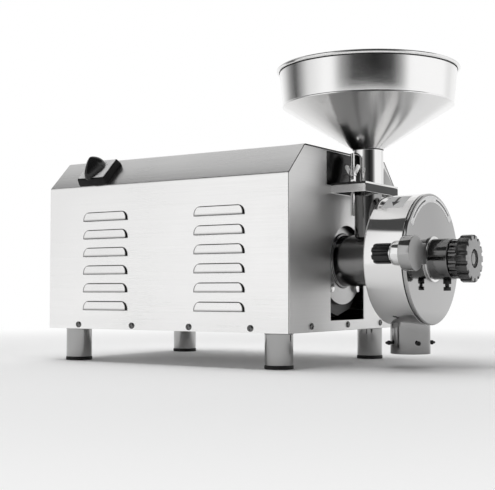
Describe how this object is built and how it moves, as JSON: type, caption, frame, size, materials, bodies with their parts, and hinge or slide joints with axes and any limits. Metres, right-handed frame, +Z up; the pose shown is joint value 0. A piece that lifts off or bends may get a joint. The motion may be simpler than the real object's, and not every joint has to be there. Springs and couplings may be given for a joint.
{
  "type": "electric powder grinder",
  "caption": "Bench-top powder grinder: a louvred steel casing on legs drives a feed screw and toothed disc in a round drum below a funnel hopper, with a rotary switch and gap-setting knob.",
  "frame": {"origin": "on the bench, under the middle of the machine's bounding box", "axes": "+X from the tail panel to the adjusting knob, -Y the side with the switch, +Z up"},
  "size_m": [0.629, 0.3464, 0.4164],
  "materials": {
    "casing_steel": "brushed",
    "polished_steel": "polished",
    "plain_steel": "turned",
    "core_steel": "stamped",
    "cast_iron": "cast",
    "motor_alloy": "cast",
    "copper": "enamelled wire",
    "black_plastic": "moulded",
    "grey_plate": "printed plate",
    "black_rubber": "moulded",
    "black_steel": "blackened"
  },
  "bodies": {
    "chassis": {"base_tray": "casing_steel", "casing_cover": "casing_steel", "head_end_panel": "casing_steel", "tail_end_panel": "casing_steel", "casing_screws": "plain_steel", "legs": "polished_steel", "leg_pads": "black_rubber", "tray_bolts": "plain_steel", "cable_gland": "black_plastic", "switch_base": "black_plastic", "switch_plate": "grey_plate", "motor_shell": "motor_alloy", "stator_core": "core_steel", "stator_windings": "copper", "drive_end_bell": "motor_alloy", "fan_end_bell": "motor_alloy", "motor_bearings": "plain_steel", "fan_cowl": "black_steel", "motor_cradle": "black_steel", "run_capacitors": "motor_alloy", "capacitor_clamp": "plain_steel", "feed_barrel": "polished_steel", "barrel_bolts": "plain_steel", "shaft_seal": "black_rubber", "mill_drum": "polished_steel", "discharge_spout": "polished_steel", "bag_pegs": "black_steel", "hopper_shelf": "polished_steel", "feed_inlet": "polished_steel", "hopper_studs": "plain_steel", "stud_nuts": "plain_steel"},
    "spindle": {"motor_shaft": "plain_steel", "rotor_core": "core_steel", "cooling_fan": "black_plastic", "feed_auger": "cast_iron", "rotating_disc": "cast_iron", "disc_nut": "plain_steel"},
    "switch_knob": {"switch_handle": "black_plastic"},
    "hopper": {"hopper_bowl": "polished_steel", "hopper_flange": "black_steel"},
    "wing_collar_front": {"wing_collar_front": "plain_steel"},
    "wing_nut_front": {"wing_nut_front": "plain_steel"},
    "wing_collar_rear": {"wing_collar_rear": "plain_steel"},
    "wing_nut_rear": {"wing_nut_rear": "plain_steel"},
    "cover": {"front_cover": "polished_steel", "cover_gasket": "black_rubber", "adjuster_hub": "polished_steel", "lock_bolt": "black_steel"},
    "carriage": {"fixed_disc": "cast_iron", "disc_carrier": "plain_steel"},
    "adjuster": {"adjust_screw": "plain_steel", "adjust_knob": "black_plastic", "knob_plate": "grey_plate", "knob_ring_nut": "black_steel"},
    "clamp_washer_front": {"clamp_washer_front": "plain_steel"},
    "clamp_knob_front": {"clamp_knob_front": "black_plastic"},
    "clamp_washer_rear": {"clamp_washer_rear": "plain_steel"},
    "clamp_knob_rear": {"clamp_knob_rear": "black_plastic"}
  },
  "joints": [
    {"name": "spindle_turn", "type": "hinge", "parent": "chassis", "child": "spindle", "pos_m": [0, 0.00524, 0.146], "axis": [1, 0, 0], "continuous": true},
    {"name": "switch_turn", "type": "hinge", "parent": "chassis", "child": "switch_knob", "pos_m": [-0.212, -0.13867, 0.27609], "axis": [0, -0.7071, 0.7071], "range_deg": [-60, 60]},
    {"name": "hopper_lift", "type": "slide", "parent": "chassis", "child": "hopper", "axis": [0, 0, 1], "range_m": [0, 0.1]},
    {"name": "cover_draw", "type": "slide", "parent": "chassis", "child": "cover", "axis": [1, 0, 0], "range_m": [0, 0.09]},
    {"name": "carriage_shift", "type": "slide", "parent": "cover", "child": "carriage", "axis": [1, 0, 0], "range_m": [0, 0.0045]},
    {"name": "adjuster_turn", "type": "hinge", "parent": "carriage", "child": "adjuster", "pos_m": [0, 0.00524, 0.146], "axis": [1, 0, 0], "range_deg": [0, 1080]},
    {"name": "wing_collar_front_rise", "type": "slide", "parent": "hopper", "child": "wing_collar_front", "axis": [0, 0, 1], "range_m": [0, 0.012]},
    {"name": "wing_nut_front_turn", "type": "hinge", "parent": "wing_collar_front", "child": "wing_nut_front", "pos_m": [0.155, -0.03476, 0.26186], "axis": [0, 0, 1], "range_deg": [0, 4320]},
    {"name": "clamp_washer_front_shift", "type": "slide", "parent": "chassis", "child": "clamp_washer_front", "axis": [1, 0, 0], "range_m": [-0.012, 0]},
    {"name": "clamp_knob_front_turn", "type": "hinge", "parent": "clamp_washer_front", "child": "clamp_knob_front", "pos_m": [0.2432, -0.09776, 0.151], "axis": [1, 0, 0], "range_deg": [-2880, 0]},
    {"name": "wing_collar_rear_rise", "type": "slide", "parent": "hopper", "child": "wing_collar_rear", "axis": [0, 0, 1], "range_m": [0, 0.012]},
    {"name": "wing_nut_rear_turn", "type": "hinge", "parent": "wing_collar_rear", "child": "wing_nut_rear", "pos_m": [0.155, 0.04524, 0.26186], "axis": [0, 0, 1], "range_deg": [0, 4320]},
    {"name": "clamp_washer_rear_shift", "type": "slide", "parent": "chassis", "child": "clamp_washer_rear", "axis": [1, 0, 0], "range_m": [-0.012, 0]},
    {"name": "clamp_knob_rear_turn", "type": "hinge", "parent": "clamp_washer_rear", "child": "clamp_knob_rear", "pos_m": [0.2432, 0.10824, 0.151], "axis": [1, 0, 0], "range_deg": [-2880, 0]}
  ],
  "couplings": [
    {"joint": "adjuster_turn", "follows": "carriage_shift", "rad_per_m": 4188.8},
    {"joint": "wing_nut_front_turn", "follows": "wing_collar_front_rise", "rad_per_m": 6283.2},
    {"joint": "clamp_knob_front_turn", "follows": "clamp_washer_front_shift", "rad_per_m": 4188.8},
    {"joint": "wing_nut_rear_turn", "follows": "wing_collar_rear_rise", "rad_per_m": 6283.2},
    {"joint": "clamp_knob_rear_turn", "follows": "clamp_washer_rear_shift", "rad_per_m": 4188.8}
  ]
}
